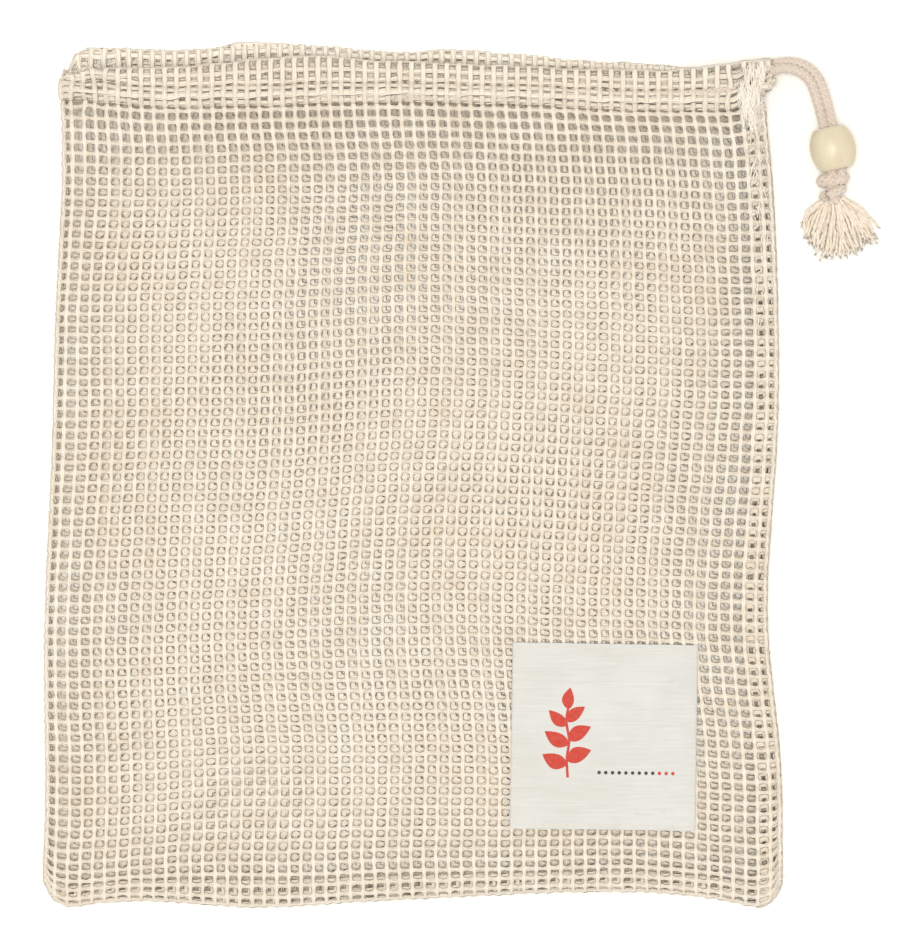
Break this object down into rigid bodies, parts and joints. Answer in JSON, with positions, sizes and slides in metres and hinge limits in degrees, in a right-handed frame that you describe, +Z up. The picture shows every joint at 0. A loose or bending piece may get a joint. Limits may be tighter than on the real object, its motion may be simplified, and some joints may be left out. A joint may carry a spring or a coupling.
{
  "type": "mesh produce bag",
  "caption": "Flat, empty drawstring bag of open cotton net with a sewn-on square label; both cord ends run through one wooden bead to a knot and a frayed tassel.",
  "frame": {"origin": "middle of the empty bag's footprint, on the table that it lies on; the free cord ends, bead, knot and tassel are left out of that footprint", "axes": "+Z up from the table, +Y along the bag from its bottom seam to its mouth, +X across it to the seamed side where the drawstring comes out"},
  "size_m": [0.2921, 0.3023, 0.0159],
  "materials": {
    "net": "undyed cotton net of soft twisted yarns, matt and slightly fuzzy",
    "sewing_thread": "off-white cotton sewing thread",
    "label_cotton": "off-white cotton with a fine crosswise rib, matt, with a small plain print",
    "drawstring": "soft braided cotton cord, matt, frayed into yarns below the knot",
    "bead_wood": "pale unvarnished hardwood, turned and lightly sanded, satin"
  },
  "bodies": {
    "bag": {"back_panel": "net", "front_panel": "net", "left_fold": "net", "side_seam": "net", "bottom_seam": "net", "front_casing": "net", "back_casing": "net", "casing_turn": "net", "casing_corner": "net", "side_seam_thread": "sewing_thread", "bottom_seam_thread": "sewing_thread", "front_casing_thread": "sewing_thread", "back_casing_thread": "sewing_thread", "label_thread": "sewing_thread", "label": "label_cotton"},
    "drawstring": {"drawstring_front": "drawstring", "drawstring_back": "drawstring", "drawstring_bend": "drawstring", "front_tail": "drawstring", "back_tail": "drawstring", "knot": "drawstring", "tassel": "drawstring"},
    "bead": {"bead": "bead_wood"}
  },
  "joints": [
    {"name": "drawstring_pull", "type": "slide", "parent": "bag", "child": "drawstring", "axis": [1, 0, 0], "range_m": [0, 0.12], "deforming": ["drawstring_bend"]},
    {"name": "bead_slide", "type": "slide", "parent": "drawstring", "child": "bead", "axis": [-0.213, 0.977, 0], "range_m": [0, 0.012]}
  ]
}
